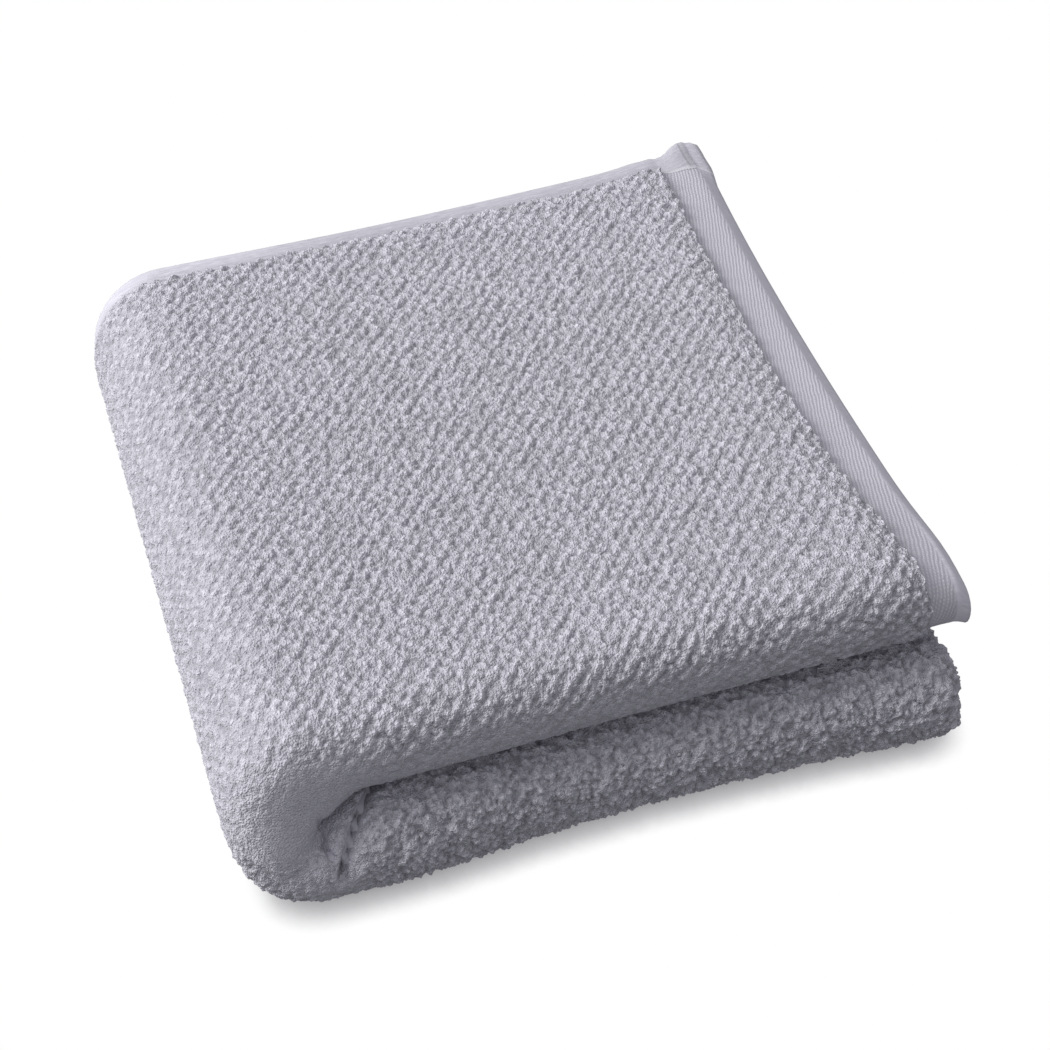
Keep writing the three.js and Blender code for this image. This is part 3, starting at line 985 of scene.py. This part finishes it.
def buildTerry(name, rowEnds, columnEnds, tree, material):
    step = terry.probeStep
    rows, rowSink = rowEnds
    columns, columnSink = columnEnds
    s, across = np.meshgrid(rows, columns, indexing="ij")
    straight = smoothStep(terry.full, terry.drawnUntil, s)
    narrow = 1 + hem.narrowing * noseShare(across) * (1 - straight)
    along = s / narrow
    inAlong = np.maximum(s, terry.full) / narrow
    inAcross = np.maximum(across, terry.fullAcross)

    def spread(under):      # past the thick cloth's border it goes straight on
        def near(stepAlong, stepAcross):
            return placed(inAlong + stepAlong, inAcross + stepAcross, 1, under)

        alongWay = (near(step, 0.0) - near(-step, 0.0)) / (2 * step)
        acrossWay = (near(0.0, step) - near(0.0, -step)) / (2 * step)
        pastAlong = (along - inAlong)[..., None]
        pastAcross = (across - inAcross)[..., None]
        return near(0.0, 0.0) + alongWay * pastAlong + acrossWay * pastAcross

    outer = spread(ground.pileDepth)
    out = spread(0.0) - outer
    out = out / np.maximum(np.linalg.norm(out, axis=-1, keepdims=True), 1e-9)
    outer = outer - out * np.maximum(rowSink[:, None], columnSink)[..., None] * mm
    count = along.shape
    every = [np.unique(np.append(np.arange(0, size, terry.backingEvery), size - 1)) for size in count]
    inner = spread(terry.backing)[np.ix_(*every)]
    spare = inner.shape[0] * inner.shape[1]
    fine = np.arange(count[0] * count[1]).reshape(count)
    coarse = np.arange(spare).reshape(inner.shape[:2]) + fine.size
    points = np.concatenate([outer.reshape(-1, 3), inner.reshape(-1, 3)])
    skin = makeMesh(name, points, closedFaces(fine, coarse, every), None)

    def keep(label, values):
        values = values.reshape(fine.size, -1)
        values = np.concatenate([values, np.zeros((spare, values.shape[1]))])
        addAttribute(skin.data, label, values if values.shape[1] == 3 else values[:, 0])

    def walkedWay(x, y):
        return foldedPoint(x + step, y, 1) - foldedPoint(x - step, y, 1)

    u = np.broadcast_to(np.interp(rows, *alongWalk)[:, None], count) / terry.rowAlong
    v = np.broadcast_to(np.interp(columns, *acrossWalk)[None, :], count) / terry.rowAcross
    keep("rowSpot", np.stack([(u + v) / 2, (u - v) / 2, np.zeros(count)], axis=-1))
    stretch = np.linalg.norm(walkedWay(along, across), axis=-1)
    stretch = stretch / np.linalg.norm(walkedWay(rows, frontStart / 2), axis=-1)[:, None]
    lattice = np.where(s > spineStart - terry.latticeSure, smoothStep(*terry.pressed, stretch), 1.0)
    onFront = smoothStep(0.0, terry.latticeTurn, (across - frontStart) / frontLength) * (s > spineStart)
    keep("rowShare", lattice * (1 - terry.latticeLost * onFront))
    here = foldedPoint(along, across, 1)
    keep("reliefShare", reliefShare(along, across, here[..., 0]))
    keep("borderAway", np.minimum(s - terry.border, across - terry.borderAcross))
    keep("outWay", out)
    # how deep each crease is, which sets its painted shade
    keep("dentDepth", np.linalg.norm(here - foldedPoint(along, across, 1, creased=0), axis=-1))
    modifier = skin.modifiers.new("terryRelief", "NODES")
    modifier.node_group = tree
    values = {**reliefSizes, "Material": material}
    for item in tree.interface.items_tree:
        if item.in_out == "INPUT" and item.name in values:
            modifier[item.identifier] = values[item.name]
    graph = bpy.context.evaluated_depsgraph_get()
    made = bpy.data.meshes.new_from_object(skin.evaluated_get(graph))
    bpy.data.objects.remove(skin)
    made.name = name
    return newObject(name, made)


def triangles(piece):
    return sum(len(face.vertices) - 2 for face in piece.data.polygons)


cloth = buildCloth(clothMaterial())
print("cloth:", triangles(cloth), "triangles")

alongWalk = walkedLine(np.arange(0.0, turnStart + turnLength + terry.walkSpare, terry.walkStep), alongPoint)
acrossWalk = walkedLine(np.arange(0.0, frontEnd + terry.walkSpare, terry.walkStep), acrossPoint)
tree = reliefTree()
loops = loopMaterial()
piles = []
for name, (rowEnds, columnEnds) in terryRegions().items():
    pile = buildTerry(name, rowEnds, columnEnds, tree, loops)
    piles.append(pile)
    print(name, triangles(pile), "triangles")
print("all:", triangles(cloth) + sum(triangles(pile) for pile in piles), "triangles")

for piece in [cloth, *piles]:
    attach(piece, "root")
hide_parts("towel")


# Floor, light and camera
white = (1.0, 1.0, 1.0, 1.0)
studio = {
    "floorHalf": 60.0,
    "floorLevel": -0.0003,
    "floorContactShadow": [            # painted contact shadow: how pale the glowing floor is, by how open the place is
        (0.15, (0.26, 0.26, 0.27)),
        (0.50, (0.53, 0.53, 0.54)),
        (0.70, (0.79, 0.79, 0.80)),
        (0.90, (1.0, 1.0, 1.0)),
    ],
    "contactReach": 0.012,
    "contactSamples": 16,
    "contactFrom": (-0.132, -0.116),        # no shadow beside the spine, where the light comes from
    "skyColour": (0.66, 0.66, 0.685),
    "floorColour": (0.186, 0.186, 0.198),
    "skyWay": (-0.24, 0.20, 0.95),          # the side from which the sky is brightest
    "skySpan": (-0.15, 0.95),
    "keyStrength": 2.65,
    "keyColour": (1.0, 0.99, 0.97),
    "keyFrom": (-0.79, 0.30, 0.56),
    "keySoftness": 34.0,
}
cameraPlace = {
    "standsAt": (-17.18, -335.58, 578.9),    # in the millimetres of foldSizes
    "turned": 18.53,            # degrees to the right of the towel's length
    "lookingDown": 48.727,
    "lens": 67.89,
    "sensor": 36.0,
    "clipStart": 0.01,
}


def buildFloor():
    material, g = newMaterial("paleFloor")
    settings = {"samples": studio["contactSamples"]}
    # the floor glows evenly pale, with a contact shadow painted in from how open each place is
    near = g.node("ShaderNodeAmbientOcclusion", settings, {"Distance": studio["contactReach"]}, "AO")
    ramp = g.node("ShaderNodeValToRGB", {"stops": studio["floorContactShadow"]}, {0: near})
    x = g.split(g.node("ShaderNodeTexCoord", {}, {}, "Object"))
    shaded = g.ranged(x, studio["contactFrom"], smooth=True)
    pale = g.mixColour(shaded, white, ramp)
    glow = g.node("ShaderNodeEmission", {}, {"Color": pale, "Strength": 1.0})
    g.node("ShaderNodeOutputMaterial", {}, {"Surface": glow})
    half, level = studio["floorHalf"], studio["floorLevel"]
    corners = [(x * half, y * half, level) for x, y in ((-1, -1), (1, -1), (1, 1), (-1, 1))]
    floor = makeMesh("floor", corners, [(0, 1, 2, 3)], material, smooth=False)
    floor.visible_diffuse = False
    floor.visible_glossy = False
    floor.visible_shadow = False


def buildSky():
    world = bpy.data.worlds.new("studio")
    bpy.context.scene.world = world
    world.use_nodes = True
    world.node_tree.nodes.clear()
    g = Graph(world.node_tree)
    way = g.node("ShaderNodeTexCoord", {}, {}, "Generated")
    height = g.vector("DOT_PRODUCT", way, studio["skyWay"]).other("Value")
    share = g.ranged(height, studio["skySpan"])
    colour = g.mixColour(share, (*studio["floorColour"], 1.0), (*studio["skyColour"], 1.0))
    seen = g.node("ShaderNodeLightPath", {}, {}, "Is Camera Ray")
    shown = g.mixColour(seen, colour, white)       # past the floor's edge it looks as pale
    sky = g.node("ShaderNodeBackground", {}, {"Color": shown, "Strength": 1.0})
    g.node("ShaderNodeOutputWorld", {}, {"Surface": sky})


def buildLight():
    light = bpy.data.lights.new("keyLight", "SUN")
    light.energy = studio["keyStrength"]
    light.color = studio["keyColour"]
    light.angle = math.radians(studio["keySoftness"])
    x, y, z = studio["keyFrom"]
    turned = (math.atan2(math.hypot(x, y), z), 0.0, math.atan2(y, x) + math.pi / 2)
    newObject("keyLight", light).rotation_euler = turned
def buildCamera():
    lens = bpy.data.cameras.new("photoCamera")
    lens.lens = cameraPlace["lens"]
    lens.sensor_width = cameraPlace["sensor"]
    lens.clip_start = cameraPlace["clipStart"]
    camera = newObject("photoCamera", lens)
    camera.location = (np.array(cameraPlace["standsAt"]) + frameShift) * mm
    tilt = math.radians(90 - cameraPlace["lookingDown"])
    camera.rotation_euler = (tilt, 0.0, math.radians(-cameraPlace["turned"]))
    bpy.context.scene.camera = camera


buildFloor()
buildSky()
buildLight()
buildCamera()
bpy.context.scene.view_settings.view_transform = "Standard"
print("floor, sky, light and camera are set")
